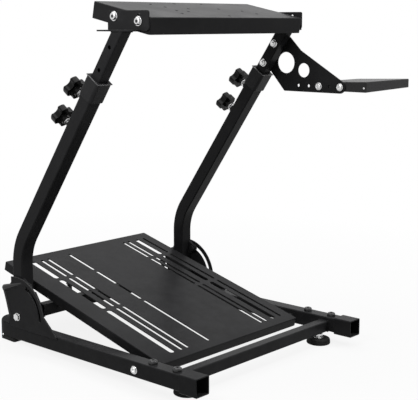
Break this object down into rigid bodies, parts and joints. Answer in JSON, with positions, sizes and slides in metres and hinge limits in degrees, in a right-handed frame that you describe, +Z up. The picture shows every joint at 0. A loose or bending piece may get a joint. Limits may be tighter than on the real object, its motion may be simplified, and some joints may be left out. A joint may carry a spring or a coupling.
{
  "type": "racing wheel stand",
  "caption": "Folding open-frame stand for a racing wheel: slotted pedal plate on floor rails, bent uprights, sliding top with a tilting wheel deck and a side tray for a shifter.",
  "frame": {"origin": "on the floor, under the middle of the stand's outer box", "axes": "+X to the seated user's right, +Y away from the user, +Z up from the floor"},
  "size_m": [0.7318, 0.6478, 0.7514],
  "materials": {
    "black_coat": "satin",
    "zinc_steel": "satin",
    "knob_plastic": "gloss",
    "black_plastic": "matte",
    "rubber": "matte"
  },
  "bodies": {
    "base": {"rail_left": "black_coat", "socket_left": "black_coat", "rail_cap_left": "black_plastic", "foot_front_left": "rubber", "foot_rear_left": "rubber", "fan_bracket_left": "black_coat", "pivot_bolt_left": "zinc_steel", "rail_right": "black_coat", "socket_right": "black_coat", "rail_cap_right": "black_plastic", "foot_front_right": "rubber", "foot_rear_right": "rubber", "fan_bracket_right": "black_coat", "pivot_bolt_right": "zinc_steel", "front_cross_tube": "black_coat", "rear_cross_tube": "black_coat", "pedal_plate": "black_coat", "plate_spacers": "black_coat", "plate_posts": "black_coat"},
    "uprights": {"upright_left": "black_coat", "top_collar_left": "black_plastic", "lock_bolt_left": "black_coat", "upright_right": "black_coat", "top_collar_right": "black_plastic", "lock_bolt_right": "black_coat"},
    "head": {"inner_tube_left": "black_coat", "saddle_left": "black_coat", "deck_pivot_bolt_left": "zinc_steel", "inner_tube_right": "black_coat", "saddle_right": "black_coat", "deck_pivot_bolt_right": "zinc_steel", "shifter_arm": "black_coat", "shifter_tray": "black_coat"},
    "deck": {"wheel_deck": "black_coat", "deck_tilt_bolt_left": "zinc_steel", "deck_tilt_bolt_right": "zinc_steel"},
    "clamp_upper_left": {"knob_upper_left": "knob_plastic", "knob_stud_upper_left": "zinc_steel"},
    "clamp_lower_left": {"knob_lower_left": "knob_plastic", "knob_stud_lower_left": "zinc_steel"},
    "clamp_upper_right": {"knob_upper_right": "knob_plastic", "knob_stud_upper_right": "zinc_steel"},
    "clamp_lower_right": {"knob_lower_right": "knob_plastic", "knob_stud_lower_right": "zinc_steel"}
  },
  "joints": [
    {"name": "fold", "type": "hinge", "parent": "base", "child": "uprights", "pos_m": [-0.08535, 0.20965, 0.06381], "axis": [1, 0, 0], "range_deg": [0, 46]},
    {"name": "height", "type": "slide", "parent": "uprights", "child": "head", "axis": [0, -0.5427, 0.8399], "range_m": [0, 0.12]},
    {"name": "deck_tilt", "type": "hinge", "parent": "head", "child": "deck", "pos_m": [-0.08535, -0.05847, 0.72365], "axis": [-1, 0, 0], "range_deg": [0, 8]},
    {"name": "clamp_upper_left_turn", "type": "hinge", "parent": "uprights", "child": "clamp_upper_left", "pos_m": [-0.34035, 0.0333, 0.57506], "axis": [0, 0.8399, 0.5427], "continuous": true},
    {"name": "clamp_lower_left_turn", "type": "hinge", "parent": "uprights", "child": "clamp_lower_left", "pos_m": [-0.34035, 0.07183, 0.51542], "axis": [0, 0.8399, 0.5427], "continuous": true},
    {"name": "clamp_upper_right_turn", "type": "hinge", "parent": "uprights", "child": "clamp_upper_right", "pos_m": [0.16965, 0.0333, 0.57506], "axis": [0, 0.8399, 0.5427], "continuous": true},
    {"name": "clamp_lower_right_turn", "type": "hinge", "parent": "uprights", "child": "clamp_lower_right", "pos_m": [0.16965, 0.07183, 0.51542], "axis": [0, 0.8399, 0.5427], "continuous": true}
  ]
}
